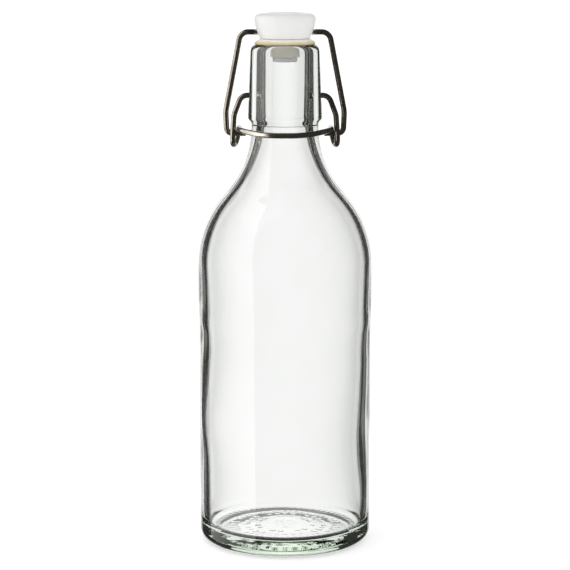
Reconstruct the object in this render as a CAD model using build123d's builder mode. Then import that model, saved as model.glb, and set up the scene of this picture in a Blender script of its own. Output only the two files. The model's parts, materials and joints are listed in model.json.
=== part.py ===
"""Half-litre swing-top bottle, closed: glass bottle, stopper, gasket and two bent wires.

Millimetres, +Z up.  The origin is the centre of the ring that the bottle stands on.  The
closure is symmetric left and right of the YZ plane, and the lever's thumb arc is at -Y.
"""

import os
from math import cos, radians, sin, sqrt, tan

from build123d import *

os.makedirs("parts", exist_ok=True)

# ---------------------------------------------------------------- glass, outside
body_radius = 37.4  # the straight wall that a label goes on
label_recess = 0.4  # the band above the label wall stands this much prouder
label_panel_top = 96.0
label_step = 6.0  # height over which the wall grows to the band
shoulder_base = 122.0  # where the shoulder starts to turn in
shoulder_arc = 47.0
neck_radius = 14.4
neck_arc = 42.6
neck_straight = 1.6  # short cylinder under the collar
collar_foot_radius = 16.1
collar_undercut = 2.2  # height of the slanted face under the collar
collar_height = 32.0  # from the collar's foot to the top of the lip
lip_radius = 14.9
lip_round = 2.9
heel_radius = 5.0
stand_ring_width = 2.2
push_up = 2.4  # the underside rises this much at the middle

# ----------------------------------------------------------------- glass, inside
shoulder_wall = 3.2
body_wall = 3.5
wall_taper_foot = 84.0  # the wall thins from here up to the shoulder
floor_thickness = 6.6
floor_crown = 1.2  # the floor rises this much at the middle
floor_round = 4.0
bore_radius = 9.8
bore_foot_rise = 5.4  # the bore starts to widen this far above the outside's neck curve
mouth_round = 2.0

# ------------------------------------------------------------------------- wires
wire_radius = 1.2
wire_end_chamfer = 0.25
running_clearance = 0.05  # radial, for a wire that turns in a hole

pivot_above_collar_foot = 9.9  # the lever's pins, over the foot of the collar
pin_depth = 2.7  # how far a pin reaches into the glass
dimple_spare = 0.3
dimple_mouth_radius = 2.7
dimple_mouth_depth = 1.3

over_centre = 1.0  # the bail's feet lie this far behind the pins when closed
throw = 16.5  # height from the bail's feet up to the pins
eye_radius = 3.75  # centre line of the loop that holds a bail foot
eye_bend = 3.4
eye_slack = 0.15  # between a foot and the top of its loop
eye_outer_x = 22.8
crossing_gap = 0.6  # between the two legs of a loop
lever_elbow_x = 18.8
lever_elbow_bend = 3.8
lever_knee = (22.0, 8.4)  # x, and how far below the pins
lever_knee_bend = 9.0
thumb_reach = 23.5  # front of the thumb arc, forward of the bottle's axis
thumb_flat = 9.5  # half width of its front run
thumb_side = 11.5  # how far the side runs go forward from the loops
thumb_drop = 1.25  # front of the arc, below the top of the loops
thumb_bend = 15.0

bail_top_x = 19.05
bail_top_bend = 4.0
bail_knee = (25.6, 9.5)  # x, and how far above the feet
bail_knee_bend = 14.0
bail_ankle_bend = 2.6
bail_foot_end_x = 16.9

# ------------------------------------------------------------ stopper and gasket
seal_gap = 0.05  # left under the gasket, which is pressed on the lip
gasket_radius = 13.1
gasket_edge = 0.7
gasket_height = 2.25
plug_clearance = 3.5  # radial, between the gasket's hub and the bore
hub_depth = 5.7  # below the lip
hub_wall = 2.3
stem_clearance = 0.05
bead_lip = 1.3  # the bead under the hub stands this far out from the stem
bead_height = 2.0
bead_round = 0.6
head_radius = 13.25
head_foot_radius = 10.7
head_side_height = 8.4  # from the gasket up to the rim
head_bulge = (12.45, 4.4)  # a point of the curved side: radius, and height over the gasket
head_round = 2.2
crown_angle = 8.0  # degrees, slope of the domed top where it meets the rim
cross_hole_height = 2.8  # over the gasket

# ------------------------------------------------------------- heights that follow
shoulder_radius = body_radius + label_recess
shoulder_span = shoulder_arc + neck_arc
neck_run_in = shoulder_span - (shoulder_radius - neck_radius)
neck_top = shoulder_base + sqrt(shoulder_span**2 - neck_run_in**2)
collar_foot = neck_top + neck_straight + collar_undercut
lip_top = collar_foot + collar_height

pivot_height = collar_foot + pivot_above_collar_foot
collar_share = pivot_above_collar_foot / (collar_height - lip_round)
pivot_collar_radius = collar_foot_radius + (lip_radius - collar_foot_radius) * collar_share
pin_end_x = pivot_collar_radius - pin_depth
foot_height = pivot_height - throw
eye_height = foot_height - (eye_radius - 2 * wire_radius - eye_slack)
eye_inner_x = eye_outer_x - 2 * wire_radius - crossing_gap
bail_ankle_x = eye_outer_x + 2 * wire_radius

gasket_foot = lip_top + seal_gap
gasket_top = gasket_foot + gasket_height
hub_radius = bore_radius - plug_clearance
stem_radius = hub_radius - hub_wall
bead_radius = stem_radius + bead_lip
bead_top = lip_top - hub_depth
bead_foot = bead_top - bead_height
cross_bar_height = gasket_top + cross_hole_height
rim_height = gasket_top + head_side_height
crown_slope = radians(crown_angle)
crown_radius = head_radius - head_round * (1 - sin(crown_slope))
crown_foot = rim_height + head_round * cos(crown_slope)
head_top = crown_foot + crown_radius * tan(crown_slope / 2)


# ------------------------------------------------------------------ glass bottle
inner_shoulder_radius = shoulder_radius - shoulder_wall
inner_shoulder_arc = shoulder_arc - shoulder_wall
bore_foot = neck_top + bore_foot_rise
bore_run_in = inner_shoulder_radius - bore_radius
inner_span = (bore_run_in**2 + (bore_foot - shoulder_base) ** 2) / (2 * bore_run_in)
inner_run_in = inner_span - bore_run_in


def turn_point(arc, span, run_in, wall_radius, top):
    """Where an arc that turns in from the wall meets the arc that turns up the neck.

    It lies on the line between their two centres, one arc's radius from the first."""
    share = arc / span
    return (wall_radius - arc + run_in * share, shoulder_base + (top - shoulder_base) * share)


outer_turn = turn_point(shoulder_arc, shoulder_span, neck_run_in, shoulder_radius, neck_top)
inner_turn = turn_point(
    inner_shoulder_arc, inner_span, inner_run_in, inner_shoulder_radius, bore_foot
)
ring_inner_radius = body_radius - heel_radius - stand_ring_width
inner_body_radius = body_radius - body_wall

with BuildPart() as glass_bottle:
    with BuildSketch(Plane.YZ):
        with BuildLine():
            underside = TangentArc((0, push_up), (ring_inner_radius, 0), tangent=(1, 0))
            ring = Line(underside @ 1, (body_radius - heel_radius, 0))
            heel = TangentArc(ring @ 1, (body_radius, heel_radius), tangent=(1, 0))
            panel = Line(heel @ 1, (body_radius, label_panel_top))
            step = Line(panel @ 1, (shoulder_radius, label_panel_top + label_step))
            band = Line(step @ 1, (shoulder_radius, shoulder_base))
            shoulder = TangentArc(band @ 1, outer_turn, tangent=(0, 1))
            neck_curve = TangentArc(shoulder @ 1, (neck_radius, neck_top), tangent=shoulder % 1)
            neck = Line(neck_curve @ 1, (neck_radius, neck_top + neck_straight))
            undercut = Line(neck @ 1, (collar_foot_radius, collar_foot))
            collar = Line(undercut @ 1, (lip_radius, lip_top - lip_round))
            lip = TangentArc(collar @ 1, (lip_radius - lip_round, lip_top), tangent=(0, 1))
            rim = Line(lip @ 1, (bore_radius + mouth_round, lip_top))
            mouth = TangentArc(rim @ 1, (bore_radius, lip_top - mouth_round), tangent=(-1, 0))
            bore = Line(mouth @ 1, (bore_radius, bore_foot))
            inner_neck = TangentArc(bore @ 1, inner_turn, tangent=(0, -1))
            inner_shoulder = TangentArc(
                inner_neck @ 1, (inner_shoulder_radius, shoulder_base), tangent=inner_neck % 1
            )
            taper = Line(inner_shoulder @ 1, (inner_body_radius, wall_taper_foot))
            inner_wall = Line(taper @ 1, (inner_body_radius, floor_thickness + floor_round))
            floor_corner = TangentArc(
                inner_wall @ 1,
                (inner_body_radius - floor_round, floor_thickness),
                tangent=(0, -1),
            )
            floor_middle = (0, floor_thickness + floor_crown)
            TangentArc(floor_middle, floor_corner @ 1, tangent=(1, 0))
            Line(floor_middle, underside @ 0)
        make_face()
    revolve(axis=Axis.Z)
    for side in (1, -1):
        socket_start = side * (pin_end_x - dimple_spare)
        with BuildSketch(Plane((socket_start, 0, pivot_height), z_dir=(side, 0, 0))):
            Circle(wire_radius + running_clearance)
        extrude(amount=pin_depth + 2 * dimple_spare, mode=Mode.SUBTRACT)
        mouth_start = side * (pivot_collar_radius - dimple_mouth_depth)
        with Locations(Plane((mouth_start, 0, pivot_height), z_dir=(side, 0, 0))):
            Cone(
                wire_radius + running_clearance,
                dimple_mouth_radius,
                dimple_mouth_depth,
                align=(Align.CENTER, Align.CENTER, Align.MIN),
                mode=Mode.SUBTRACT,
            )
glass_bottle.part.label = "glass_bottle"


# ------------------------------------------------------------------ stopper head
with BuildPart() as stopper_head:
    with BuildSketch(Plane.YZ):
        with BuildLine():
            Polyline(
                (0, head_top),
                (0, bead_foot),
                (bead_radius, bead_foot),
                (bead_radius, bead_top),
                (stem_radius, bead_top),
                (stem_radius, gasket_top),
                (head_foot_radius, gasket_top),
            )
            side_curve = ThreePointArc(
                (head_foot_radius, gasket_top),
                (head_bulge[0], gasket_top + head_bulge[1]),
                (head_radius, rim_height),
            )
            rim_curve = TangentArc(side_curve @ 1, (crown_radius, crown_foot), tangent=(0, 1))
            TangentArc(rim_curve @ 1, (0, head_top), tangent=rim_curve % 1)
        make_face()
    revolve(axis=Axis.Z)
    bead_edge = stopper_head.edges().filter_by(GeomType.CIRCLE).sort_by(Axis.Z)[0]
    fillet(bead_edge, bead_round)
    with BuildSketch(Plane.YZ):
        with Locations((0, cross_bar_height)):
            Circle(wire_radius + running_clearance)
    extrude(amount=head_radius, both=True, mode=Mode.SUBTRACT)
stopper_head.part.label = "stopper_head"


# ------------------------------------------------------------------------ gasket
with BuildPart() as gasket:
    with BuildSketch(Plane.XZ):
        with BuildLine():
            Polyline(
                (stem_radius + stem_clearance, bead_top),
                (hub_radius, bead_top),
                (hub_radius, gasket_foot),
                (gasket_radius, gasket_foot),
                (gasket_radius, gasket_foot + gasket_edge),
                (head_foot_radius, gasket_top),
                (stem_radius + stem_clearance, gasket_top),
                close=True,
            )
        make_face()
    revolve(axis=Axis.Z)
gasket.part.label = "gasket"


# --------------------------------------------------------------------- two wires
def both_sides(half_route):
    """A route across the bottle, from its right half, which starts at the right-hand end."""
    left = [(-x, y, z) for x, y, z in reversed(half_route)]
    return half_route + left


def bent_wire(route, bends):
    """A round wire along straight runs with a tangent arc at each corner, cut ends chamfered."""
    with BuildPart() as wire:
        with BuildLine() as centre_line:
            FilletPolyline(*route, radius=bends)
        with BuildSketch(Plane(centre_line.line @ 0, z_dir=centre_line.line % 0)):
            Circle(wire_radius)
        sweep()
        ends = wire.faces().filter_by(GeomType.PLANE)
        chamfer(ends.edges(), wire_end_chamfer)
    return wire.part


eye_front = over_centre - eye_radius
eye_back = over_centre + eye_radius
eye_top = eye_height + eye_radius
eye_foot = eye_height - eye_radius
knee_share = lever_knee[1] / (pivot_height - eye_foot)

lever_half = [
    (pin_end_x, 0, pivot_height),
    (lever_elbow_x, 0, pivot_height),
    (lever_knee[0], eye_front * knee_share, pivot_height - lever_knee[1]),
    (eye_outer_x, eye_front, eye_foot),
    ((eye_outer_x + eye_inner_x) / 2, eye_back, eye_foot),
    (eye_inner_x, eye_back, eye_top),
    (eye_inner_x, over_centre - thumb_side, eye_top),
    (thumb_flat, -thumb_reach, eye_top - thumb_drop),
]
eye_bends = [eye_bend, eye_bend, eye_bend]
lever_bends = [lever_elbow_bend, lever_knee_bend, *eye_bends, thumb_bend, thumb_bend]

with BuildPart() as lever_wire:
    add(bent_wire(both_sides(lever_half), lever_bends + lever_bends[::-1]))
lever_wire.part.label = "lever_wire"

bail_rise = cross_bar_height - foot_height
bail_knee_y = over_centre * (1 - bail_knee[1] / bail_rise)
bail_half = [
    (bail_foot_end_x, over_centre, foot_height),
    (bail_ankle_x, over_centre, foot_height),
    (bail_knee[0], bail_knee_y, foot_height + bail_knee[1]),
    (bail_top_x, 0, cross_bar_height),
]
bail_bends = [bail_ankle_bend, bail_knee_bend, bail_top_bend]

with BuildPart() as bail_wire:
    add(bent_wire(both_sides(bail_half), bail_bends + bail_bends[::-1]))
bail_wire.part.label = "bail_wire"

# ------------------------------------------------------------------------ export
export_step(glass_bottle.part, "parts/glass_bottle.step")
export_step(stopper_head.part, "parts/stopper_head.step")
export_step(gasket.part, "parts/gasket.step")
export_step(bail_wire.part, "parts/bail_wire.step")
export_step(lever_wire.part, "parts/lever_wire.step")
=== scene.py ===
"""Swing-top bottle of clear glass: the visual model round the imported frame, and its studio.

All lengths are metres, +Z is up, and the thumb arc of the lever is on the -Y side.
"""

import json
import math

import bpy
import numpy as np
from bpy.props import FloatProperty, FloatVectorProperty, IntProperty, PointerProperty
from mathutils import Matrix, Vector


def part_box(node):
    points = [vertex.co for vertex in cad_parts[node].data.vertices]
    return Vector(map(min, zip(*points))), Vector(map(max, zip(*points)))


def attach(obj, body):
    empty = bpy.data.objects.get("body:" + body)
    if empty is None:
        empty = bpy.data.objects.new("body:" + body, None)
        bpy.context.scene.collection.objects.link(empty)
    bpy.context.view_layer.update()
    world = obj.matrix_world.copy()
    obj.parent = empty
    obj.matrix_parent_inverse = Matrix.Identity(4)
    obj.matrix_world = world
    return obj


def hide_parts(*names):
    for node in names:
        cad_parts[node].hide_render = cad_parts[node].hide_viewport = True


bl_info = {
    "name": "Swing-top bottle",
    "version": (1, 0, 0),
    "blender": (4, 5, 0),
    "location": "3D View > Sidebar > Bottle",
    "description": "Makes a swing-top glass bottle with its stopper, seal, wires and studio",
    "category": "Add Mesh",
}

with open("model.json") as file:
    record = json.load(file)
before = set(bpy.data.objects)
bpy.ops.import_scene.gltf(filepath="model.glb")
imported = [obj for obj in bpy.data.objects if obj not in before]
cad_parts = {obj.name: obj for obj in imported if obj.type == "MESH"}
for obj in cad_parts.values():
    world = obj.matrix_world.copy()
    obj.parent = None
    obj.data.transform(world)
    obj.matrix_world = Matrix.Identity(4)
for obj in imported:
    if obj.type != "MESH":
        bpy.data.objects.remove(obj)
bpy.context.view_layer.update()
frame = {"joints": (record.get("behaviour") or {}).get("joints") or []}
GLASS_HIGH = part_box("glass_bottle")[1]
HEAD_LOW, HEAD_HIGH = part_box("stopper_head")
SEAL_LOW, SEAL_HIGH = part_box("gasket")
HINGES = {joint["name"]: joint["pos_m"] for joint in frame["joints"]}
PIN_HEIGHT = HINGES["lever_swing"][2]
FOOT_BACK, FOOT_HEIGHT = HINGES["bail_swing"][1:]
BAR_HEIGHT = HINGES["stopper_tilt"][2]

MM = 0.001
FINE = 0.1 * MM  # the step that outlines are first drawn with
LIP_TOP = GLASS_HIGH.z
SHOULDER_RADIUS = GLASS_HIGH.x
FULL_TURN = 2 * math.pi


# ---------------- what a user may change
def length(name, millimetres, description):
    """A length property with its default in millimetres."""
    return FloatProperty(
        name=name, description=description, default=millimetres * MM, precision=5, unit="LENGTH"
    )


def colour(name, red, green, blue, description):
    """A colour property, linear red, green and blue."""
    shade = (red, green, blue)
    return FloatVectorProperty(
        name=name, description=description, default=shade, min=0.0, max=1.0, subtype="COLOR"
    )


def share(name, default, description):
    """A plain number from 0 upwards."""
    return FloatProperty(name=name, description=description, default=default, min=0.0)


class GlassSettings(bpy.types.PropertyGroup):
    body_radius: length("Body radius", 37.4, "Outside of the straight wall")
    label_panel_top: length("Label panel top", 96.0, "Height where the label wall ends")
    label_step: length("Label step", 6.0, "Height over which the wall grows to the band")
    shoulder_base: length("Shoulder base", 122.0, "Height where the shoulder turns in")
    shoulder_arc: length("Shoulder arc", 47.0, "Radius of the shoulder's curve")
    neck_radius: length("Neck radius", 14.4, "Outside of the neck under the collar")
    neck_arc: length("Neck arc", 42.6, "Radius of the curve up into the neck")
    neck_straight: length("Neck straight", 1.6, "Cylinder under the collar")
    collar_foot_radius: length("Collar foot radius", 16.1, "Widest ring of the collar")
    collar_undercut: length("Collar undercut", 2.2, "Height of the slant under the collar")
    collar_height: length("Collar height", 32.0, "From the collar's foot to the lip")
    lip_radius: length("Lip radius", 14.9, "Outside of the collar at the lip")
    lip_round: length("Lip round", 2.9, "Outer edge of the lip")
    heel_radius: length("Heel radius", 5.0, "Round between wall and underside")
    stand_ring_width: length("Standing ring width", 2.2, "Flat ring the bottle stands on")
    push_up: length("Push-up", 2.4, "Rise of the underside at the middle")
    shoulder_wall: length("Shoulder wall", 3.2, "Glass at the shoulder")
    body_wall: length("Body wall", 3.5, "Glass in the straight wall")
    wall_taper_foot: length("Wall taper foot", 84.0, "The wall thins from this height up")
    floor_thickness: length("Floor thickness", 6.6, "Glass over the standing ring")
    floor_crown: length("Floor crown", 1.2, "Rise of the inside floor at the middle")
    floor_round: length("Floor round", 4.0, "Inside corner of the floor")
    bore_radius: length("Bore radius", 9.8, "Inside of the mouth")
    bore_foot_rise: length("Bore foot rise", 5.4, "Foot of the bore above the neck's curve")
    mouth_round: length("Mouth round", 2.0, "Inner edge of the lip")
    mould_softness: length("Mould softness", 0.5, "How far the mould's corners are softened")
    socket_radius: length("Socket radius", 1.34, "Hole that a lever pin sits in")
    socket_depth: length("Socket depth", 2.75, "Depth of that hole")
    socket_flare_radius: length("Socket flare radius", 2.7, "Mouth of the hole")
    socket_flare_depth: length("Socket flare depth", 1.3, "Depth of the flared mouth")
    seam_height: length("Seam height", 0.09, "How far the mould seams stand out")
    seam_width: length("Seam width", 0.35, "Half width of the mould seams")
    mark_relief: length("Mark relief", 0.3, "Raised bars on the underside")
    knurl_depth: length("Knurl depth", 0.22, "Notches across the standing ring")
    knurl_count: IntProperty(name="Knurl count", description="Notches round the ring", default=66)
    columns: IntProperty(name="Columns", description="Points round the bottle", default=300)


class StopperSettings(bpy.types.PropertyGroup):
    stem_radius: length("Stem radius", 4.0, "Stem through the seal")
    stem_clearance: length("Stem clearance", 0.05, "Gap between stem and seal")
    bead_radius: length("Bead radius", 5.3, "Bead that keeps the seal on")
    foot_radius: length("Head foot radius", 10.7, "Head where it meets the seal")
    bulge_radius: length("Bulge radius", 12.45, "A point of the curved side")
    bulge_height: length("Bulge height", 4.4, "Height of that point over the seal")
    side_height: length("Side height", 8.4, "From the seal up to the rim")
    rim_round: length("Rim round", 2.2, "Round from the side to the crown")
    crown_slope: FloatProperty(
        name="Crown slope",
        description="Slope of the domed top at the rim",
        default=math.radians(8),
        subtype="ANGLE",
    )
    hole_radius: length("Cross hole radius", 1.25, "Hole for the bail")
    hub_radius: length("Hub radius", 6.3, "Hub of the seal, in the mouth")
    seal_edge: length("Seal edge", 0.7, "Height of the seal's rim")
    seal_wobble: length("Seal wobble", 0.07, "Unevenness of the seal's rim")
    softness: length("Softness", 0.22, "How far moulded corners are softened")


class WireSettings(bpy.types.PropertyGroup):
    radius: length("Wire radius", 1.2, "Both wires")
    end_chamfer: length("End chamfer", 0.25, "Cut ends")
    eye_radius: length("Eye radius", 3.75, "Centre line of the lever's eyes")
    eye_bend: length("Eye bend", 3.4, "Bend radius in the eyes")
    eye_slack: length("Eye slack", 0.15, "Gap between a bail foot and its eye")
    eye_outer_x: length("Eye outer leg", 22.8, "Outer leg of an eye from the middle")
    crossing_gap: length("Crossing gap", 0.6, "Gap between the legs of an eye")
    pin_end_x: length("Pin end", 13.0, "Inner end of a pin from the middle")
    elbow_x: length("Lever elbow", 18.8, "Where the lever turns down from its pins")
    elbow_bend: length("Lever elbow bend", 3.8, "Bend radius there")
    knee_x: length("Lever knee", 22.0, "Lever's knee from the middle")
    knee_drop: length("Lever knee drop", 8.4, "Lever's knee below the pins")
    knee_bend: length("Lever knee bend", 9.0, "Bend radius there")
    thumb_reach: length("Thumb reach", 23.5, "Front of the thumb arc")
    thumb_flat: length("Thumb flat", 9.5, "Half width of its front")
    thumb_side: length("Thumb side", 11.5, "How far its sides go forward")
    thumb_drop: length("Thumb drop", 1.25, "Front of the arc below the eyes' tops")
    thumb_bend: length("Thumb bend", 15.0, "Bend radius of the arc")
    bail_top_x: length("Bail top", 19.05, "Bail's shoulders from the middle")
    bail_top_bend: length("Bail top bend", 4.0, "Bend radius there")
    bail_knee_x: length("Bail knee", 25.6, "Bail's knee from the middle")
    bail_knee_rise: length("Bail knee rise", 9.5, "Bail's knee above its feet")
    bail_knee_bend: length("Bail knee bend", 14.0, "Bend radius there")
    bail_ankle_bend: length("Bail ankle bend", 2.6, "Bend radius above the feet")
    bail_foot_end_x: length("Bail foot end", 16.9, "Inner end of a foot from the middle")


class FinishSettings(bpy.types.PropertyGroup):
    glass_tint: colour("Glass tint", 0.3, 0.8, 0.18, "Colour that thick glass takes on")
    glass_density: share("Glass density", 3.5, "How fast thick glass takes on its tint")
    plastic: colour("Plastic", 0.86, 0.86, 0.85, "Stopper head")
    plastic_shade: colour("Plastic shade", 0.78, 0.78, 0.765, "Mottling of the head")
    rubber: colour("Rubber", 0.9, 0.87, 0.78, "Seal")
    # Rubber shade colours the painted shade on the seal's lower outer rim, and its cloudy mottling.
    rubber_shade: colour("Rubber shade", 0.6, 0.47, 0.2, "Aged rim of the seal")
    steel: colour("Steel", 0.5, 0.455, 0.4, "Drawn wire")
    steel_patina: colour("Steel patina", 0.25, 0.22, 0.175, "Darker streaks in the wire")
    # The rubbed steel colour is a painted sheen: lighter steel on the front of the thumb arc.
    steel_painted_sheen: colour("Rubbed steel", 0.72, 0.68, 0.6, "Where a thumb keeps it bright")


class StudioSettings(bpy.types.PropertyGroup):
    camera_distance: length("Camera distance", 960.0, "Level distance from the bottle's axis")
    camera_height: length("Camera height", 273.0, "Above the floor")
    aim_height: length("Aim height", 113.2, "Height the camera looks at")
    aim_side: length("Aim side", 0.0, "How far to the right the camera looks")
    focal_length: share("Focal length", 140.6, "Millimetres, on a 36 mm sensor")
    surround: colour("Surround", 0.035, 0.035, 0.033, "Dark studio that gloss and glass pick up")
    backdrop: colour("Backdrop", 1.0, 1.0, 1.0, "White wall")
    fill: share("Fill", 0.84, "Strength of the white room on matt surfaces")


# ---------------- drawing outlines
class Outline:
    """A half section as (radius, height) points, drawn with lines and tangent arcs."""

    def __init__(self, radius, height):
        self.points = np.array([[radius, height]])
        self.heading = np.array([1.0, 0.0])

    def line(self, radius, height):
        """A straight run: evenly spaced points between the two ends."""
        start = self.points[-1]
        run = np.array([radius, height]) - start
        reach = np.linalg.norm(run)
        along = np.linspace(0, 1, max(2, math.ceil(reach / FINE) + 1))[1:, None]
        self.points = np.vstack([self.points, start + run * along])
        self.heading = run / reach

    def lines(self, *points):
        """Straight runs from point to point."""
        for point in points:
            self.line(*point)

    def arc(self, radius, height, heading=None):
        """The arc that leaves along the heading, by default the last one, and ends at the point.

        Its centre lies on the normal at the start, at the square of the chord over twice the
        chord's part along that normal, and it turns by twice the angle from heading to chord."""
        ahead = self.heading if heading is None else np.array(heading, float)
        start = self.points[-1]
        chord = np.array([radius, height]) - start
        normal = np.array([-ahead[1], ahead[0]])
        bend = chord @ chord / (2 * chord @ normal)
        turn = 2 * math.atan2(chord @ normal, chord @ ahead)
        count = max(2, math.ceil(abs(bend * turn) / FINE) + 1)
        angle = np.linspace(0, turn, count)[1:, None]
        swing = bend * (np.sin(angle) * ahead + (1 - np.cos(angle)) * normal)
        self.points = np.vstack([self.points, start + swing])
        self.heading = math.cos(turn) * ahead + math.sin(turn) * normal


def spread(points, spacing):
    """Points moved along the outline until they are as far apart as spacing says there.

    The number of steps up to a point is the sum of each short run over its spacing."""
    runs = np.linalg.norm(np.diff(points, axis=0), axis=1)
    gaps = np.broadcast_to(spacing, len(points))
    steps = np.concatenate([[0], np.cumsum(2 * runs / (gaps[1:] + gaps[:-1]))])
    wanted = np.linspace(0, steps[-1], math.ceil(steps[-1]) + 1)
    return np.stack([np.interp(wanted, steps, points[:, k]) for k in (0, 1)], axis=1)


def softened(points, width, closed=False):
    """Corners rounded off: the outline averaged along itself under a bell curve.

    Past its ends it goes on as its own mirror image in the axis, or as a closed loop."""
    points = spread(points, FINE)
    reach = math.ceil(4 * width / FINE)
    bell = np.exp(-0.5 * (np.arange(-reach, reach + 1) * FINE / width) ** 2)
    bell /= bell.sum()
    if closed:
        padded = np.vstack([points[-reach - 1 : -1], points, points[1 : reach + 1]])
    else:
        flip = np.array([-1.0, 1.0])
        padded = np.vstack(
            [points[reach:0:-1] * flip, points, points[-2 : -reach - 2 : -1] * flip]
        )
    return np.stack([np.convolve(padded[:, k], bell, "valid") for k in (0, 1)], axis=1)


def row_spacing(points, widest, angle_step):
    """The widest spacing, or less where the outline curves: an even angle for each step."""
    heading = np.gradient(points, axis=0)
    angle = np.unwrap(np.arctan2(heading[:, 1], heading[:, 0]))
    bend = np.abs(np.gradient(angle)) / np.linalg.norm(heading, axis=1)
    return 1 / (1 / widest + bend / angle_step)


def ramp(low, high, value):
    """0 below low, 1 above high, and the smooth cubic 3t^2 - 2t^3 between."""
    t = np.clip((value - low) / (high - low), 0, 1)
    return t * t * (3 - 2 * t)


def all_round(count):
    """Evenly spaced angles round a full turn."""
    return np.linspace(0, FULL_TURN, count, endpoint=False)


# ---------------- making meshes
def placed(name, data):
    """An object in the scene that holds the data."""
    thing = bpy.data.objects.new(name, data)
    bpy.context.scene.collection.objects.link(thing)
    return thing


def ring_mesh(name, grid, poles=(), along=None):
    """A mesh object from a grid of points, rows by columns, that wraps round its columns.

    Two poles close the first and the last row with fans.  Without poles the rows wrap too."""
    rows, columns = grid.shape[:2]
    row = np.arange(rows - 1 if len(poles) else rows)[:, None]
    column = np.arange(columns)[None, :]
    corner_rows = np.stack(np.broadcast_arrays(row, row + 0 * column, row + 1, row + 1), -1)
    corner_columns = np.stack(
        np.broadcast_arrays(column + 0 * row, column + 1, column + 1, column), -1
    )
    quads = (corner_rows % rows * columns + corner_columns % columns).reshape(-1)
    starts = np.arange(len(quads) // 4) * 4
    around = corner_columns.reshape(-1) / columns
    place = np.arange(rows + 1) / rows if along is None else np.append(along, along[-1])
    up = place[corner_rows.reshape(-1)]
    points = grid.reshape(-1, 3)
    corners = [quads]
    if len(poles):
        points = np.vstack([points, poles])
        here = np.arange(columns)
        after = (here + 1) % columns
        last = (rows - 1) * columns
        foot = np.stack([np.full(columns, rows * columns), after, here], -1)
        top = np.stack([np.full(columns, rows * columns + 1), last + here, last + after], -1)
        corners += [foot.reshape(-1), top.reshape(-1)]
        starts = np.append(starts, len(quads) + np.arange(2 * columns) * 3)
        fan = np.stack([here + 0.5, here + 1, here], -1).reshape(-1) / columns
        fan_top = np.stack([here + 0.5, here, here + 1], -1).reshape(-1) / columns
        around = np.concatenate([around, fan, fan_top])
        up = np.concatenate([up, np.full(3 * columns, place[0]), np.full(3 * columns, place[-1])])
    corners = np.concatenate(corners)
    mesh = bpy.data.meshes.new(name)
    mesh.vertices.add(len(points))
    mesh.vertices.foreach_set("co", points.astype(np.float32).ravel())
    mesh.loops.add(len(corners))
    mesh.loops.foreach_set("vertex_index", corners.astype(np.int32))
    mesh.polygons.add(len(starts))
    mesh.polygons.foreach_set("loop_start", starts.astype(np.int32))
    mesh.update(calc_edges=True)
    uv = mesh.uv_layers.new(name="UVMap")
    uv.data.foreach_set("uv", np.stack([around, up], -1).astype(np.float32).ravel())
    mesh.shade_smooth()
    return placed(name, mesh)


def turned(outline, azimuths):
    """The surface of revolution: x = r cos a, y = r sin a, z = height."""
    radius = outline[:, 0][:, None]
    height = np.broadcast_to(outline[:, 1][:, None], (len(outline), len(azimuths)))
    return np.stack([radius * np.cos(azimuths), radius * np.sin(azimuths), height], -1)


def poles_of(outline):
    """The two points on the axis where the outline starts and ends."""
    return np.stack([[0, 0, z] for z in outline[[0, -1], 1]])


def mark(thing, name, values):
    """Stores one number for each vertex, for the finish to read."""
    layer = thing.data.attributes.new(name, "FLOAT", "POINT")
    layer.data.foreach_set("value", np.asarray(values, np.float32))


def install(thing, finish, body, node):
    """Gives the piece its finish and its body, and hides the CAD node it stands for."""
    thing.data.materials.append(finish)
    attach(thing, body)
    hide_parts(node)


# ---------------- shader arithmetic
class Value:
    """A shader socket that can stand in a sum or product: each operation adds a Math node."""

    def __init__(self, finish, socket):
        self.finish = finish
        self.socket = socket

    def math(self, operation, first, second):
        sockets = {0: first, 1: second}
        return self.finish.node("ShaderNodeMath", {"operation": operation}, sockets)

    def __add__(self, other):
        return self.math("ADD", self, other)

    def __rsub__(self, other):
        return self.math("SUBTRACT", other, self)

    def __mul__(self, other):
        return self.math("MULTIPLY", self, other)

    __radd__ = __add__
    __rmul__ = __mul__


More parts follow.
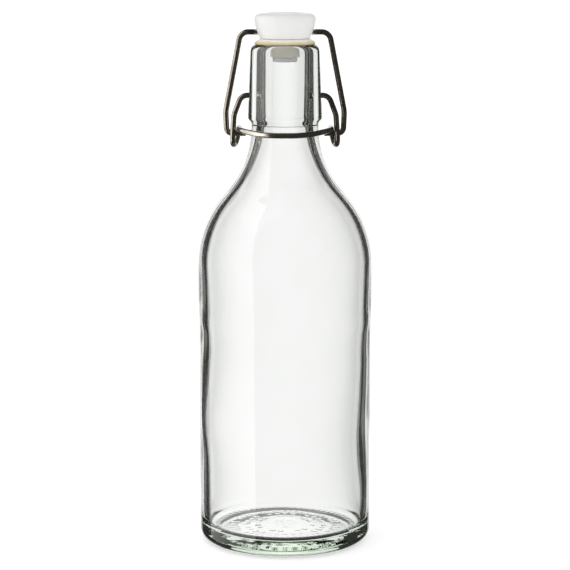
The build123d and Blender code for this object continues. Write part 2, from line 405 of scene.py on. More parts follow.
class Finish:
    """One procedural material, built node by node round a Principled shader."""

    def __init__(self, name):
        self.material = bpy.data.materials.new(name)
        self.material.use_nodes = True
        self.tree = self.material.node_tree
        self.tree.nodes.clear()

    def node(self, kind, settings=None, sockets=None, output=0):
        """Adds a node: its settings first, then the values or links of its sockets."""
        made = self.tree.nodes.new(kind)
        for key, setting in (settings or {}).items():
            if key == "stops":
                self.set_stops(made.color_ramp, setting)
            else:
                setattr(made, key, setting)
        for key, given in (sockets or {}).items():
            if isinstance(given, Value):
                self.tree.links.new(given.socket, made.inputs[key])
            else:
                made.inputs[key].default_value = given
        return Value(self, made.outputs[output])

    @staticmethod
    def set_stops(color_ramp, stops):
        """Black to white stops, as pairs of position and brightness."""
        while len(color_ramp.elements) < len(stops):
            color_ramp.elements.new(0.5)
        for element, (position, level) in zip(color_ramp.elements, stops):
            element.position = position
            element.color = (level, level, level, 1)

    def stretched(self, source, scale):
        """Source coordinates multiplied by scale on each axis."""
        return self.node("ShaderNodeMapping", None, {"Vector": source, "Scale": scale})

    def place(self):
        return self.node("ShaderNodeTexCoord", output=3)

    def unwrapped(self):
        return self.node("ShaderNodeTexCoord", output=2)

    def noise(self, vector, scale, detail=3.0, roughness=0.5):
        sockets = {"Vector": vector, "Scale": scale, "Detail": detail, "Roughness": roughness}
        return self.node("ShaderNodeTexNoise", None, sockets)

    def levels(self, value, *stops):
        """A number remapped through stops of position and brightness."""
        return self.node("ShaderNodeValToRGB", {"stops": stops}, {0: value})

    def blend(self, factor, first, second):
        """A colour between two others."""
        first, second = (c if isinstance(c, Value) else (*c, 1) for c in (first, second))
        settings = {"data_type": "RGBA"}
        return self.node("ShaderNodeMix", settings, {0: factor, 6: first, 7: second}, 2)

    def attribute(self, name):
        return self.node("ShaderNodeAttribute", {"attribute_name": name}, output=2)

    def bump(self, height, distance, strength=1.0):
        sockets = {"Height": height, "Distance": distance, "Strength": strength}
        return self.node("ShaderNodeBump", None, sockets)

    def surface(self, sockets):
        """The Principled shader and the output; returns the material."""
        shader = self.node("ShaderNodeBsdfPrincipled", None, sockets)
        self.output = self.node_output(shader)
        return self.material

    def node_output(self, shader):
        made = self.tree.nodes.new("ShaderNodeOutputMaterial")
        self.tree.links.new(shader.socket, made.inputs["Surface"])
        return made


def clear_glass(colours):
    """Clear glass: faint ripples, a few dusty patches, and a tint that grows with thickness."""
    finish = Finish("clear_glass")
    place = finish.place()
    ripple = finish.noise(finish.stretched(place, (1, 1, 0.35)), 90, 2)
    pores = finish.noise(place, 900, 2)
    dust = finish.levels(finish.noise(place, 55, 4, 0.6), (0.5, 0), (0.8, 1))
    finish.surface(
        {
            "Base Color": finish.blend(dust, (1, 1, 1), (0.985, 0.99, 0.98)),
            "Roughness": 0.002 + 0.03 * dust,
            "IOR": 1.52,
            "Transmission Weight": 1.0,
            "Normal": finish.bump(ripple + 0.12 * pores, 0.00004, 0.5),
        }
    )
    tint = finish.node(
        "ShaderNodeVolumeAbsorption",
        None,
        {"Color": (*colours.glass_tint, 1), "Density": colours.glass_density},
    )
    finish.tree.links.new(tint.socket, finish.output.inputs["Volume"])
    return finish.material


def white_plastic(colours):
    """Moulded white plastic: cloudy shade, fine grain and scuffs on the rim."""
    finish = Finish("stopper_plastic")
    place = finish.place()
    cloud = finish.noise(place, 140, 4)
    grain = finish.noise(place, 2600, 3)
    scuffs = finish.levels(
        finish.noise(finish.stretched(place, (1, 1, 5)), 420, 5, 0.65), (0.56, 0), (0.68, 1)
    )
    shade = finish.levels(cloud, (0.35, 0), (0.75, 1))
    colour_now = finish.blend(shade * 0.6, colours.plastic, colours.plastic_shade)
    return finish.surface(
        {
            "Base Color": finish.blend(scuffs * 0.25, colour_now, colours.plastic_shade),
            "Roughness": 0.3 + 0.12 * cloud + 0.14 * scuffs,
            "IOR": 1.49,
            "Normal": finish.bump(grain + 0.5 * scuffs, 0.00002, 0.5),
        }
    )


def seal_rubber(colours):
    """Cream rubber: painted shade, darker and more golden, along the lower outer rim where it sits
    on the lip, with a dusty grain.
    """
    finish = Finish("gasket_rubber")
    place = finish.place()
    grain = finish.noise(place, 1900, 4, 0.6)
    cloud = finish.noise(place, 260, 3)
    # Painted shade: the rim mark makes the rubber darker and more golden out at its edge and down
    # at its foot on the lip.
    painted_rim_shade = finish.attribute("rim")
    tone = finish.levels(cloud * 0.5 + painted_rim_shade * 0.75, (0.3, 0), (1.0, 1))
    return finish.surface(
        {
            "Base Color": finish.blend(tone, colours.rubber, colours.rubber_shade),
            "Roughness": 0.5 + 0.25 * grain,
            "IOR": 1.5,
            "Normal": finish.bump(grain + 0.6 * cloud, 0.00006, 0.6),
        }
    )


def drawn_steel(colours, name, tone):
    """Drawn wire: streaks along its length, dark patina, and a painted sheen of lighter steel on
    the front of the thumb arc.
    """
    finish = Finish(name)
    along = finish.unwrapped()
    place = finish.place()
    streaks = finish.noise(finish.stretched(along, (30, 1.4, 1)), 1.0, 4, 0.6)
    patina = finish.levels(finish.noise(place, 170, 4, 0.6), (0.36, 0), (0.66, 1))
    scratches = finish.levels(
        finish.noise(finish.stretched(along, (90, 6, 1)), 1.0, 5, 0.7), (0.55, 0), (0.7, 1)
    )
    # Painted sheen: towards the front of the thumb arc the steel is made lighter, and a little
    # rougher.
    rubbed = finish.attribute("rubbed")
    painted_sheen = rubbed * (0.75 + 0.4 * streaks)
    base = finish.blend(patina * 0.75, [tone * c for c in colours.steel], colours.steel_patina)
    base = finish.blend(streaks * 0.35, base, colours.steel_patina)
    return finish.surface(
        {
            "Base Color": finish.blend(painted_sheen, base, colours.steel_painted_sheen),
            "Metallic": 1.0 - 0.08 * patina * (1 - rubbed),
            "Roughness": 0.1 + 0.09 * patina + 0.06 * streaks + 0.05 * rubbed,
            "Normal": finish.bump(streaks + 0.7 * scratches + 0.3 * patina, 0.00002, 0.5),
        }
    )


# ---------------- glass bottle
# Thick and thin places of the blown wall: azimuth and its spread in degrees, height and its
# spread in millimetres, and how many millimetres of glass are added there.
WALL_SPOTS = (
    (180, 40, 82, 17, 0.4),
    (182, 40, 54, 13, -0.75),
    (0, 40, 104, 20, -0.2),
    (-2, 40, 44, 13, 0.6),
    (75, 40, 60, 30, 0.25),
    (250, 45, 95, 34, 0.2),
)
QUICK_WAVE, SLOW_WAVE = 0.03, 0.05  # millimetres of glass in two waves round the wall
CHANGE_SETS_IN = 14 * MM, 30 * MM  # heights between which the inner wall starts to vary
CHANGE_EASES = 135 * MM, 165 * MM  # heights between which it varies less
EASED_BY = 0.4
# Raised bars on the underside, ring by ring: the middle and half the length in millimetres, how
# many places the ring has, and one in how many of them stays empty.
MARK_RINGS = ((22.6, 1.5, 48, 7), (17.2, 1.1, 30, 5), (12, 0.8, 20, 3))
BAR_EDGE = 0.32, 0.2  # shares of its place, from the middle, where a bar ends and is whole
SHORT_BAR = 0.45  # length of a short bar over a long one
MARKED_FROM, MARKED_TO = 9.0 * MM, 29.8 * MM  # radii that bars and notches lie between
NOTCH_ENDS, NOTCH_WHOLE = 1.5 * MM, 0.9 * MM  # from the middle of the standing ring
SEAM_FADE = 4.0 * MM  # height over which a seam dies out under the collar
GLASS_ROWS = 3.0 * MM, math.radians(9)  # widest spacing, and the turn from row to row
SOCKET_ROW, MARK_ROW = 0.26 * MM, 0.5 * MM
SOCKET_REACH = 1.15  # rows are fine this many flare radii above and below the sockets
CROWDING = 0.225  # radians by which columns are drawn towards the sockets


def turn_point(arc, span, run_in, wall_radius, foot, top):
    """Where the arc that turns in meets the arc that turns up: one radius from its centre,
    on the line between both centres."""
    part = arc / span
    return wall_radius - arc + run_in * part, foot + (top - foot) * part


def glass_outline(g):
    """The half section of the glass, from the middle of the underside, up the outside, over the
    lip and down the inside to the middle of the floor."""
    collar_foot = LIP_TOP - g.collar_height
    neck_top = collar_foot - g.collar_undercut - g.neck_straight
    span = g.shoulder_arc + g.neck_arc
    run_in = span - (SHOULDER_RADIUS - g.neck_radius)
    outer_turn = turn_point(
        g.shoulder_arc, span, run_in, SHOULDER_RADIUS, g.shoulder_base, neck_top
    )
    inner_shoulder = SHOULDER_RADIUS - g.shoulder_wall
    bore_foot = neck_top + g.bore_foot_rise
    bore_run = inner_shoulder - g.bore_radius
    inner_span = (bore_run**2 + (bore_foot - g.shoulder_base) ** 2) / (2 * bore_run)
    inner_arc, inner_in = g.shoulder_arc - g.shoulder_wall, inner_span - bore_run
    inner_turn = turn_point(
        inner_arc, inner_span, inner_in, inner_shoulder, g.shoulder_base, bore_foot
    )
    inner_body = g.body_radius - g.body_wall
    heel_start = g.body_radius - g.heel_radius
    outline = Outline(0, g.push_up)
    outline.arc(heel_start - g.stand_ring_width, 0)
    outline.line(heel_start, 0)
    outline.arc(g.body_radius, g.heel_radius)
    outline.lines(
        (g.body_radius, g.label_panel_top),
        (SHOULDER_RADIUS, g.label_panel_top + g.label_step),
        (SHOULDER_RADIUS, g.shoulder_base),
    )
    outline.arc(*outer_turn)
    outline.arc(g.neck_radius, neck_top)
    outline.lines(
        (g.neck_radius, neck_top + g.neck_straight),
        (g.collar_foot_radius, collar_foot),
        (g.lip_radius, LIP_TOP - g.lip_round),
    )
    outline.arc(g.lip_radius - g.lip_round, LIP_TOP, (0, 1))
    outline.line(g.bore_radius + g.mouth_round, LIP_TOP)
    outline.arc(g.bore_radius, LIP_TOP - g.mouth_round)
    outline.line(g.bore_radius, bore_foot)
    outline.arc(*inner_turn)
    outline.arc(inner_shoulder, g.shoulder_base)
    outline.line(inner_body, g.wall_taper_foot)
    outline.line(inner_body, g.floor_thickness + g.floor_round)
    outline.arc(inner_body - g.floor_round, g.floor_thickness, (0, -1))
    outline.arc(0, g.floor_thickness + g.floor_crown)
    return outline.points


def wall_change(azimuth, height):
    """Glass added inside the wall: a sum of bell-shaped thick and thin places and two waves.

    It starts above the floor, and is weaker in the neck."""
    degrees = np.degrees(azimuth)
    total = QUICK_WAVE * np.sin(2 * azimuth + height / (9 * MM)) * np.sin(height / (7 * MM))
    total = total + SLOW_WAVE * np.sin(3 * azimuth - height / (16 * MM))
    for side, side_spread, level, level_spread, amount in WALL_SPOTS:
        turn = (degrees - side + 180) % 360 - 180
        rise = (height / MM - level) / level_spread
        total = total + amount * np.exp(-0.5 * ((turn / side_spread) ** 2 + rise**2))
    fade = ramp(*CHANGE_SETS_IN, height) * (1 - EASED_BY * ramp(*CHANGE_EASES, height))
    return total * fade * MM


def socket_sink(rho, g):
    """Depth of a pin socket at the distance rho from its axis: a hole in a flared mouth."""
    flare = g.socket_flare_depth * (1 - ramp(g.socket_radius, g.socket_flare_radius, rho))
    hole = (g.socket_depth - g.socket_flare_depth) * (rho < g.socket_radius)
    return flare + hole


def underside_marks(azimuth, radius, g):
    """Raised bars in three rings that spell nothing: long and short ones, and empty places."""
    turns = azimuth / FULL_TURN
    total = 0
    for middle, half, count, empty in MARK_RINGS:
        number = np.floor(turns * count)
        within = ramp(*BAR_EDGE, np.abs(turns * count - number - 0.5))
        reach = half * np.where((number * empty) % 4 > 1, 1.0, SHORT_BAR) * MM
        across = ramp(reach + 0.25 * MM, reach - 0.1 * MM, np.abs(radius - middle * MM))
        filled = (number % empty) != 0
        total = total + within * across * filled
    return g.mark_relief * total


def bottle_surface(g):
    """The glass as one closed surface of revolution with its small departures.

    Each point moves along the outline's normal, which is the heading (dr, dz) turned to
    (dz, -dr): the inner wall by wall_change, the underside by its marks and the standing ring
    by notches.  Seams add a bell-shaped ridge at +X and -X, and sockets sink along X."""
    outline = softened(glass_outline(g), g.mould_softness)
    outside = np.arange(len(outline)) < np.argmax(outline[:, 1])
    spacing = row_spacing(outline, *GLASS_ROWS)
    radius, height = outline.T
    socket_half = SOCKET_REACH * g.socket_flare_radius
    near_socket = outside & (np.abs(height - PIN_HEIGHT) < socket_half)
    spacing = np.where(near_socket, np.minimum(spacing, SOCKET_ROW), spacing)
    under = outside & (height < g.push_up + FINE)
    marked = under & (radius > MARKED_FROM) & (radius < MARKED_TO)
    spacing = np.where(marked, np.minimum(spacing, MARK_ROW), spacing)
    outline = spread(outline, spacing)
    heading = np.gradient(outline, axis=0)
    heading /= np.linalg.norm(heading, axis=1)[:, None]
    rows = slice(1, -1)
    outside = (np.arange(len(outline)) < np.argmax(outline[:, 1]))[rows, None]
    radius, height = (outline[rows, k][:, None] for k in (0, 1))
    dr, dz = (heading[rows, k][:, None] for k in (0, 1))
    step = FULL_TURN * np.arange(g.columns) / g.columns
    azimuth = (step - CROWDING * np.sin(2 * step))[None, :]
    move = np.where(outside, 0, wall_change(azimuth, height))
    heel_start = g.body_radius - g.heel_radius
    under = outside & (height < g.push_up) & (radius < heel_start + MM)
    from_ring = np.abs(radius - (heel_start - g.stand_ring_width / 2))
    notch = 0.5 - 0.5 * np.cos(g.knurl_count * azimuth)
    notched = notch**2 * ramp(NOTCH_ENDS, NOTCH_WHOLE, from_ring)
    move = np.where(under, underside_marks(azimuth, radius, g) - g.knurl_depth * notched, move)
    from_seam = radius * np.abs(np.sin(azimuth))
    seam_top = LIP_TOP - g.collar_height
    seam_range = ramp(g.heel_radius, 2 * g.heel_radius, height)
    seam_range = seam_range * ramp(seam_top, seam_top - SEAM_FADE, height)
    ridge = g.seam_height * np.exp(-((from_seam / g.seam_width) ** 2)) * seam_range
    move = np.where(outside & ~under, ridge, move)
    radius = np.minimum(radius + move * dz, SHOULDER_RADIUS)
    height = height - move * dr
    x = radius * np.cos(azimuth)
    y = radius * np.sin(azimuth)
    rho = np.hypot(y, height - PIN_HEIGHT)
    x = x - np.where(outside, np.sign(x) * socket_sink(rho, g), 0)
    return np.stack([x, y, height], -1), poles_of(outline)


class BOTTLE_OT_make_glass(bpy.types.Operator):
    """Make the glass bottle"""

    bl_idname = "bottle.make_glass"
    bl_label = "Glass bottle"

    def execute(self, context):
        glass = ring_mesh("bottle_glass", *bottle_surface(context.scene.bottle_glass))
        finish = clear_glass(context.scene.bottle_finish)
        install(glass, finish, "bottle", "glass_bottle")
        return {"FINISHED"}


# ---------------- stopper and gasket
HEAD_GAP = 0.1 * MM  # between the stopper head and the seal
SEAL_GAP = 0.05 * MM  # between the seal and the lip
GATE_RADIUS, GATE_DEPTH = 1.1 * MM, 0.16 * MM  # the moulding mark in the middle of the dome
HEAD_COLUMNS, HOLE_COLUMNS, SEAL_COLUMNS = 192, 48, 180
HEAD_ROWS = 0.5 * MM, math.radians(8)  # widest spacing, and the turn from row to row
SEAL_ROWS = 0.45 * MM, math.radians(15)
HEAD_EDGE = math.radians(50)  # edges sharper than this stay sharp
SIDE_POINTS = 120


def head_outline(s):
    """Half section of the stopper: bead, stem, head with a curved side, rim and dome."""
    seal_top = SEAL_HIGH.z
    rim = seal_top + s.side_height
    crown_radius = HEAD_HIGH.x - s.rim_round * (1 - math.sin(s.crown_slope))
    crown_foot = rim + s.rim_round * math.cos(s.crown_slope)
    outline = Outline(0, HEAD_LOW.z)
    outline.lines(
        (s.bead_radius, HEAD_LOW.z),
        (s.bead_radius, SEAL_LOW.z - HEAD_GAP),
        (s.stem_radius, SEAL_LOW.z - HEAD_GAP),
        (s.stem_radius, seal_top + HEAD_GAP),
        (s.foot_radius, seal_top + HEAD_GAP),
    )
    outline.points = np.vstack([outline.points, side_curve(s, seal_top, rim)[1:]])
    outline.arc(crown_radius, crown_foot, (0, 1))
    outline.arc(0, HEAD_HIGH.z)
    return outline.points


def side_curve(s, seal_top, rim):
    """The circle through the side's foot, its bulge and its rim, drawn from foot to rim.

    Its centre c is as far from all three: 2 (p - foot) . c = p . p - foot . foot for the others."""
    foot = [s.foot_radius, seal_top + HEAD_GAP]
    marks = np.array([foot, [s.bulge_radius, seal_top + s.bulge_height], [HEAD_HIGH.x, rim]])
    matrix = 2 * (marks[1:] - marks[0])
    centre = np.linalg.solve(matrix, (marks[1:] ** 2 - marks[0] ** 2).sum(1))
    spokes = marks - centre
    angles = np.unwrap(np.arctan2(spokes[:, 1], spokes[:, 0]))
    sweep = np.linspace(angles[0], angles[2], SIDE_POINTS)
    return centre + np.linalg.norm(spokes[0]) * np.stack([np.cos(sweep), np.sin(sweep)], -1)


def cut(thing, cutter):
    """Takes cutter's shape out of thing and removes the cutter."""
    modifier = thing.modifiers.new("cut", "BOOLEAN")
    modifier.object = cutter
    modifier.solver = "EXACT"
    evaluated = thing.evaluated_get(bpy.context.evaluated_depsgraph_get())
    thing.data = bpy.data.meshes.new_from_object(evaluated)
    thing.modifiers.clear()
    bpy.data.objects.remove(cutter)


class BOTTLE_OT_make_head(bpy.types.Operator):
    """Make the stopper head, its stem and bead, with the cross hole for the bail"""

    bl_idname = "bottle.make_head"
    bl_label = "Stopper head"

    def execute(self, context):
        s = context.scene.bottle_stopper
        outline = softened(head_outline(s), s.softness)
        outline = spread(outline, row_spacing(outline, *HEAD_ROWS))
        outline[:, 0] = np.minimum(outline[:, 0], HEAD_HIGH.x)
        gate = np.exp(-((outline[:, 0] / GATE_RADIUS) ** 4)) * (outline[:, 1] > BAR_HEIGHT)
        outline[:, 1] -= GATE_DEPTH * gate
        head = ring_mesh("head", turned(outline[1:-1], all_round(HEAD_COLUMNS)), poles_of(outline))
        reach = HEAD_HIGH.x + 2 * MM
        x = np.linspace(-reach, reach, 3)[:, None]
        circle = all_round(HOLE_COLUMNS)[None, :]
        y, z = s.hole_radius * np.cos(circle), BAR_HEIGHT + s.hole_radius * np.sin(circle)
        hole = np.stack(np.broadcast_arrays(x, y, z), -1)
        ends = np.array([[-reach, 0, BAR_HEIGHT], [reach, 0, BAR_HEIGHT]])
        cut(head, ring_mesh("hole", hole, ends))
        head.data.set_sharp_from_angle(angle=HEAD_EDGE)
        finish = white_plastic(context.scene.bottle_finish)
        install(head, finish, "stopper", "stopper_head")
        return {"FINISHED"}


class BOTTLE_OT_make_seal(bpy.types.Operator):
    """Make the rubber seal: a hub round the stem and a flared rim that presses on the lip"""

    bl_idname = "bottle.make_seal"
    bl_label = "Rubber seal"

    def execute(self, context):
        s = context.scene.bottle_stopper
        inner = s.stem_radius + s.stem_clearance
        foot = LIP_TOP + SEAL_GAP
        outline = Outline(inner, SEAL_LOW.z)
        outline.lines(
            (s.hub_radius, SEAL_LOW.z),
            (s.hub_radius, foot),
            (SEAL_HIGH.x, foot),
            (SEAL_HIGH.x, foot + s.seal_edge),
            (s.foot_radius, SEAL_HIGH.z),
            (inner, SEAL_HIGH.z),
            (inner, SEAL_LOW.z),
        )
        loop = softened(outline.points, s.softness * 0.6, closed=True)
        loop = spread(loop, row_spacing(loop, *SEAL_ROWS))[:-1]
        azimuths = all_round(SEAL_COLUMNS)
        grid = turned(loop, azimuths)
        rim = ramp(s.foot_radius, SEAL_HIGH.x, loop[:, 0])[:, None]
        wave = 0.5 + 0.3 * np.sin(5 * azimuths + 1) + 0.2 * np.sin(13 * azimuths)
        scale = 1 - rim * s.seal_wobble * wave / SEAL_HIGH.x
        grid[..., :2] *= scale[..., None]
        seal = ring_mesh("seal", grid)
        # The rim mark is painted shade, growing out to the seal's edge and down to its foot on the
        # lip.
        low = ramp(SEAL_HIGH.z, foot, grid[..., 2])
        mark(seal, "rim", (np.broadcast_to(rim, low.shape) * low).ravel())
        finish = seal_rubber(context.scene.bottle_finish)
        install(seal, finish, "stopper", "gasket")
        return {"FINISHED"}


# ---------------- two wires
STATION = 2.5 * MM  # how far apart a wire's rings are on its straight runs
BEND_STEP = math.radians(6)
WIRE_EDGE = math.radians(35)  # edges sharper than this stay sharp
LEVER_TONE, BAIL_TONE = 1.1, 1.0  # how light each wire's steel is
SHEEN_FROM, SHEEN_TO = 0.4, 0.95  # shares of the thumb reach that the painted sheen grows over


def both_sides(half):
    """A route across the bottle, from its right half."""
    return np.array(half + [(-x, y, z) for x, y, z in reversed(half)])


def rotated(vector, axis, angle):
    """Rodrigues' turn of a vector about a unit axis, for a whole array of angles."""
    cos, sin = np.cos(angle)[:, None], np.sin(angle)[:, None]
    return vector * cos + np.cross(axis, vector) * sin + axis * (axis @ vector) * (1 - cos)


def wire_surface(corners, bends, radius, chamfer, sides=36):
    """A round wire along straight runs with a tangent arc at each corner.

    An arc starts at bend * tan(turn / 2) before its corner.  At the angle a into it, the centre
    line has moved bend * sin(a) ahead and bend * (1 - cos(a)) inward, and the cross directions
    have turned by a about the corner's axis.  The ends are narrower by the chamfer.  Gives the
    grid, the two end points, the length along it over its girth, and the centre line."""
    runs = np.diff(corners, axis=0)
    runs /= np.linalg.norm(runs, axis=1)[:, None]
    up = np.cross(runs[0], [0.0, 1.0, 0.0])
    up /= np.linalg.norm(up)
    centres, firsts, seconds = [], [], []
    at = corners[0]

    def straight(end, start):
        """Rings along a run, with unturned cross directions."""
        count = max(1, round(np.linalg.norm(end - start) / STATION))
        along = np.linspace(0, 1, count, endpoint=False)[:, None]
        centres.append(start + (end - start) * along)
        firsts.append(np.repeat(up[None], count, 0))
        seconds.append(np.repeat(np.cross(ahead, up)[None], count, 0))

    for corner, bend, ahead, after in zip(corners[1:-1], bends, runs[:-1], runs[1:]):
        turn = math.acos(np.clip(ahead @ after, -1, 1))
        axis = np.cross(ahead, after) / math.sin(turn)
        start = corner - ahead * bend * math.tan(turn / 2)
        straight(start, at)
        angle = np.linspace(0, turn, max(4, math.ceil(turn / BEND_STEP)), endpoint=False)
        inward = np.cross(axis, ahead)
        sine, fall = np.sin(angle)[:, None], (1 - np.cos(angle))[:, None]
        centres.append(start + bend * (sine * ahead + fall * inward))
        firsts.append(rotated(up, axis, angle))
        seconds.append(rotated(np.cross(ahead, up), axis, angle))
        up = rotated(up, axis, np.array([turn]))[0]
        at = corner + after * bend * math.tan(turn / 2)
    ahead = runs[-1]
    straight(corners[-1], at)
    centres.append(corners[-1][None])
    firsts.append(up[None])
    seconds.append(np.cross(ahead, up)[None])
    centre, first, second = (np.vstack(part) for part in (centres, firsts, seconds))
    doubled = np.r_[0, 0, 1 : len(centre) - 1, -1, -1]
    centre, first, second = centre[doubled], first[doubled], second[doubled]
    centre[1] += runs[0] * chamfer
    centre[-2] -= runs[-1] * chamfer
    size = np.full(len(centre), radius)
    size[[0, -1]] -= chamfer
    around = all_round(sides)[None, :, None]
    across = np.cos(around) * first[:, None] + np.sin(around) * second[:, None]
    grid = centre[:, None] + size[:, None, None] * across
    along = np.concatenate([[0], np.cumsum(np.linalg.norm(np.diff(centre, axis=0), axis=1))])
    return grid, centre[[0, -1]], along / (FULL_TURN * radius), centre


def lever_route(w):
    """Pin, elbow, knee, eye, thumb arc, and the same mirrored."""
    eye_front = FOOT_BACK - w.eye_radius
    eye_back = FOOT_BACK + w.eye_radius
    eye_middle = FOOT_HEIGHT - (w.eye_radius - 2 * w.radius - w.eye_slack)
    eye_top = eye_middle + w.eye_radius
    eye_foot = eye_middle - w.eye_radius
    eye_inner_x = w.eye_outer_x - 2 * w.radius - w.crossing_gap
    knee_y = eye_front * w.knee_drop / (PIN_HEIGHT - eye_foot)
    return both_sides(
        [
            (w.pin_end_x, 0, PIN_HEIGHT),
            (w.elbow_x, 0, PIN_HEIGHT),
            (w.knee_x, knee_y, PIN_HEIGHT - w.knee_drop),
            (w.eye_outer_x, eye_front, eye_foot),
            ((w.eye_outer_x + eye_inner_x) / 2, eye_back, eye_foot),
            (eye_inner_x, eye_back, eye_top),
            (eye_inner_x, FOOT_BACK - w.thumb_side, eye_top),
            (w.thumb_flat, -w.thumb_reach, eye_top - w.thumb_drop),
        ]
    )


def bail_route(w):
    """Foot, ankle, knee, shoulder, and the same mirrored."""
    ankle_x = w.eye_outer_x + 2 * w.radius
    knee_y = FOOT_BACK * (1 - w.bail_knee_rise / (BAR_HEIGHT - FOOT_HEIGHT))
    return both_sides(
        [
            (w.bail_foot_end_x, FOOT_BACK, FOOT_HEIGHT),
            (ankle_x, FOOT_BACK, FOOT_HEIGHT),
            (w.bail_knee_x, knee_y, FOOT_HEIGHT + w.bail_knee_rise),
            (w.bail_top_x, 0, BAR_HEIGHT),
        ]
    )


def make_wire(context, name, route, bends, tone):
    """One wire in its finish, from its route and the bends on the route's first half.

    Its steel is made lighter in front, where the thumb presses: a painted sheen."""
    w = context.scene.bottle_wires
    grid, ends, along, centre = wire_surface(route, bends + bends[::-1], w.radius, w.end_chamfer)
    wire = ring_mesh(name, grid, ends, along)
    reach = w.thumb_reach
    # A painted sheen: lighter steel from this share of the thumb reach forward.
    rubbed = ramp(-SHEEN_FROM * reach, -SHEEN_TO * reach, centre[:, 1])
    mark(wire, "rubbed", np.append(np.repeat(rubbed, grid.shape[1]), [0, 0]))
    wire.data.set_sharp_from_angle(angle=WIRE_EDGE)
    finish = drawn_steel(context.scene.bottle_finish, name + "_steel", tone)
    install(wire, finish, name, name + "_wire")


class BOTTLE_OT_make_lever(bpy.types.Operator):
    """Make the lever: one wire with two pins, two eyes and the thumb arc"""

    bl_idname = "bottle.make_lever"
    bl_label = "Lever wire"

    def execute(self, context):
        w = context.scene.bottle_wires
        eye = [w.eye_bend] * 3
        bends = [w.elbow_bend, w.knee_bend, *eye, w.thumb_bend, w.thumb_bend]
        make_wire(context, "lever", lever_route(w), bends, LEVER_TONE)
        return {"FINISHED"}


class BOTTLE_OT_make_bail(bpy.types.Operator):
    """Make the bail: one wire hooked in the eyes and passed through the stopper head"""

    bl_idname = "bottle.make_bail"
    bl_label = "Bail wire"

    def execute(self, context):
        w = context.scene.bottle_wires
        bends = [w.bail_ankle_bend, w.bail_knee_bend, w.bail_top_bend]
        make_wire(context, "bail", bail_route(w), bends, BAIL_TONE)
        return {"FINISHED"}


# ---------------- studio
WALL_LEVEL = 1.03  # brightness of the white wall itself
# Cards stand where their numbers say in the camera's frame, behind or beside the bottle.
BACKDROP_HALF, BACKDROP_TALL, BACKDROP_DEPTH = 0.5, 0.6, 0.75
BACKDROP_MIDDLE, BACKDROP_EDGE, BACKDROP_REACH = (1.1, 1.095, 1.1), (0.93, 0.93, 0.925), 0.16
FLAG_OUT, FLAG_NEAR, FLAG_DEPTH = 0.265, 0.15, 0.53
PANEL_DISTANCE, PANEL_FOOT, PANEL_TOP = 0.55, -0.4, 0.85
STRIP_SPAN, STRIP_RADIANCE = (42, 69), 1.7
SIDE_SPAN, SIDE_RADIANCE = (69, 124), 1.5
LAMP_SIDE, LAMP_RISE, LAMP_NEARER, LAMP_SIZE, LAMP_RADIANCE = -0.45, 0.8, 0.3, 0.8, 0.5
FLOOR_HALF, FLOOR_DROP, FLOOR_GLOW = 6.0, 0.2 * MM, 0.38


def studio_world(studio):
    """A white room for the eye and for light that matt surfaces gather, also through glass, and
    a dark one for what gloss and glass show the eye."""
    world = bpy.data.worlds.new("studio")
    bpy.context.scene.world = world
    world.use_nodes = True
    world.cycles.sampling_method = "NONE"
    nodes, links = world.node_tree.nodes, world.node_tree.links
    nodes.clear()
    rays = nodes.new("ShaderNodeLightPath")

    def light(tint, strength):
        made = nodes.new("ShaderNodeBackground")
        made.inputs["Color"].default_value = (*tint, 1)
        made.inputs["Strength"].default_value = strength
        return made.outputs[0]

    def choose(ray, otherwise, chosen):
        made = nodes.new("ShaderNodeMixShader")
        for socket, source in enumerate((rays.outputs[ray], otherwise, chosen)):
            links.new(source, made.inputs[socket])
        return made.outputs[0]

    dark, white = light(studio.surround, 1), light(studio.backdrop, studio.fill)
    gathered = choose("Diffuse Depth", dark, white)
    seen = choose("Is Camera Ray", gathered, light(studio.backdrop, WALL_LEVEL))
    output = nodes.new("ShaderNodeOutputWorld")
    links.new(seen, output.inputs["Surface"])


def stage_mesh(name, corners, finish):
    """A flat card between its corners, which isn't part of the bottle."""
    mesh = bpy.data.meshes.new(name)
    mesh.from_pydata(corners, [], [tuple(range(len(corners)))])
    mesh.materials.append(finish.material)
    thing = placed(name, mesh)
    return thing


def rectangle(half_x, half_y, z):
    """The corners of a level rectangle round the z axis."""
    return [(x * half_x, y * half_y, z) for x, y in ((-1, -1), (1, -1), (1, 1), (-1, 1))]


def card(name, corners, camera, middle, edge=None, reach=1.0):
    """A card that only gloss and glass show, placed in the camera's frame.

    Its brightness goes from the middle to the edge colour with the square of x over reach."""
    finish = Finish(name)
    across = finish.node("ShaderNodeSeparateXYZ", None, {0: finish.place()}) * (1 / reach)
    level = finish.blend(across * across, middle, edge or middle)
    shader = finish.node("ShaderNodeEmission", None, {"Color": level})
    finish.node_output(shader)
    thing = stage_mesh(name, corners, finish)
    thing.parent = camera
    for kind in ("camera", "diffuse", "volume_scatter", "shadow"):
        setattr(thing, "visible_" + kind, False)
    return thing


def panel(name, span, radiance, away, camera):
    """An upright card beside the bottle that only gloss shows, between two angles to the left
    of the camera.

    Its edges are at x = -distance * sin a and distance * cos a nearer than the bottle."""
    (near_x, near_z), (far_x, far_z) = (
        (-PANEL_DISTANCE * math.sin(a), -away + PANEL_DISTANCE * math.cos(a))
        for a in map(math.radians, span)
    )
    corners = [
        (near_x, PANEL_FOOT, near_z),
        (far_x, PANEL_FOOT, far_z),
        (far_x, PANEL_TOP, far_z),
        (near_x, PANEL_TOP, near_z),
    ]
    card(name, corners, camera, (radiance, radiance, radiance)).visible_transmission = False


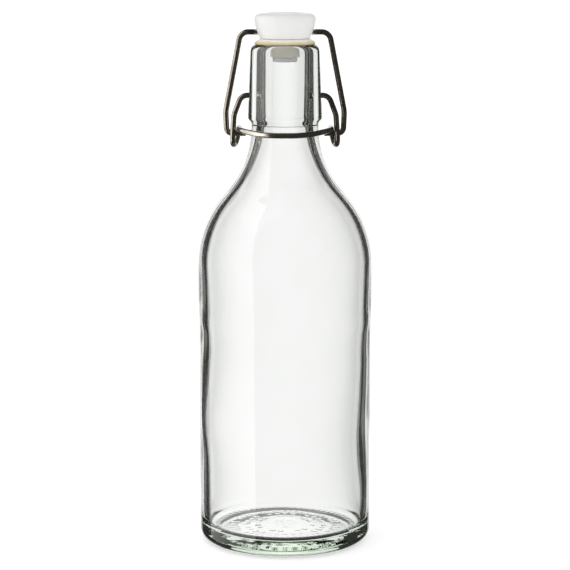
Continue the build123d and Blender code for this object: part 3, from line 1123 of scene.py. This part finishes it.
def floor_plane():
    """A wide pale floor, a little self-lit so that it meets the white wall without an edge."""
    finish = Finish("floor")
    paper = finish.noise(finish.place(), 300, 3)
    finish.surface(
        {
            "Base Color": finish.blend(paper, (0.93, 0.93, 0.93), (0.9, 0.9, 0.9)),
            "Roughness": 0.95,
            "Specular IOR Level": 0.0,
            "Emission Color": (1, 1, 1, 1),
            "Emission Strength": FLOOR_GLOW,
        }
    )
    floor = stage_mesh("floor", rectangle(FLOOR_HALF, FLOOR_HALF, -FLOOR_DROP), finish)
    floor.visible_glossy = False
    floor.visible_transmission = False


def softbox(name, away, camera):
    """A square lamp above the bottle's left side, aimed at the bottle, that gloss doesn't show.

    Its power is the radiance times pi times its area."""
    data = bpy.data.lights.new(name, "AREA")
    data.shape = "RECTANGLE"
    data.size = data.size_y = LAMP_SIZE
    data.energy = LAMP_RADIANCE * math.pi * LAMP_SIZE * LAMP_SIZE
    lamp = placed(name, data)
    lamp.parent = camera
    lamp.location = (LAMP_SIDE, LAMP_RISE, -away + LAMP_NEARER)
    aim = Vector((0, 0, -away)) - Vector(lamp.location)
    lamp.rotation_euler = aim.to_track_quat("-Z", "Y").to_euler()
    lamp.visible_glossy = False


class BOTTLE_OT_make_studio(bpy.types.Operator):
    """Make the floor, the lamps, the cards and the camera"""

    bl_idname = "bottle.make_studio"
    bl_label = "Studio"

    def execute(self, context):
        studio = context.scene.bottle_studio
        scene = context.scene
        scene.view_settings.view_transform = "Standard"
        scene.cycles.max_bounces = 40
        scene.cycles.transmission_bounces = 40
        scene.cycles.glossy_bounces = 24
        studio_world(studio)
        floor_plane()
        drop = studio.camera_height - studio.aim_height
        pitch = math.atan2(drop, studio.camera_distance)
        data = bpy.data.cameras.new("camera")
        data.lens = studio.focal_length
        data.sensor_width = 36
        data.clip_start = 0.01
        camera = placed("camera", data)
        camera.location = (studio.aim_side, -studio.camera_distance, studio.camera_height)
        camera.rotation_euler = (math.pi / 2 - pitch, 0, 0)
        scene.camera = camera
        away = math.hypot(drop, studio.camera_distance)
        tall = BACKDROP_TALL
        corners = rectangle(BACKDROP_HALF, tall, -away - BACKDROP_DEPTH)
        card("backdrop", corners, camera, BACKDROP_MIDDLE, BACKDROP_EDGE, BACKDROP_REACH)
        for side, name in ((-1, "left"), (1, "right")):
            x, near, far = side * FLAG_OUT, -away - FLAG_NEAR, -away - FLAG_DEPTH
            corners = [(x, -tall, near), (x, -tall, far), (x, tall, far), (x, tall, near)]
            card(name + "_flag", corners, camera, tuple(studio.surround))
        panel("left_strip", STRIP_SPAN, STRIP_RADIANCE, away, camera)
        panel("side_panel", SIDE_SPAN, SIDE_RADIANCE, away, camera)
        softbox("top_box", away, camera)
        return {"FINISHED"}


# ---------------- panel and start
MAKERS = ("make_glass", "make_head", "make_seal", "make_lever", "make_bail", "make_studio")


class BOTTLE_PT_makers(bpy.types.Panel):
    """Buttons that make each piece, and the sizes and colours they use"""

    bl_idname = "BOTTLE_PT_makers"
    bl_label = "Swing-top bottle"
    bl_space_type = "VIEW_3D"
    bl_region_type = "UI"
    bl_category = "Bottle"

    def draw(self, context):
        for maker in MAKERS:
            self.layout.operator("bottle." + maker)
        for attribute, kind in SETTINGS.items():
            box = self.layout.box()
            box.label(text=kind.__name__)
            for name in kind.__annotations__:
                box.prop(getattr(context.scene, attribute), name)


SETTINGS = {
    "bottle_glass": GlassSettings,
    "bottle_stopper": StopperSettings,
    "bottle_wires": WireSettings,
    "bottle_finish": FinishSettings,
    "bottle_studio": StudioSettings,
}
CLASSES = (
    *SETTINGS.values(),
    BOTTLE_OT_make_glass,
    BOTTLE_OT_make_head,
    BOTTLE_OT_make_seal,
    BOTTLE_OT_make_lever,
    BOTTLE_OT_make_bail,
    BOTTLE_OT_make_studio,
    BOTTLE_PT_makers,
)


def register():
    for kind in CLASSES:
        bpy.utils.register_class(kind)
    for attribute, kind in SETTINGS.items():
        setattr(bpy.types.Scene, attribute, PointerProperty(type=kind))


def unregister():
    for attribute in SETTINGS:
        delattr(bpy.types.Scene, attribute)
    for kind in reversed(CLASSES):
        bpy.utils.unregister_class(kind)


def main():
    """Makes every piece and the studio."""
    register()
    for maker in MAKERS:
        getattr(bpy.ops.bottle, maker)()


if __name__ == "__main__":
    main()
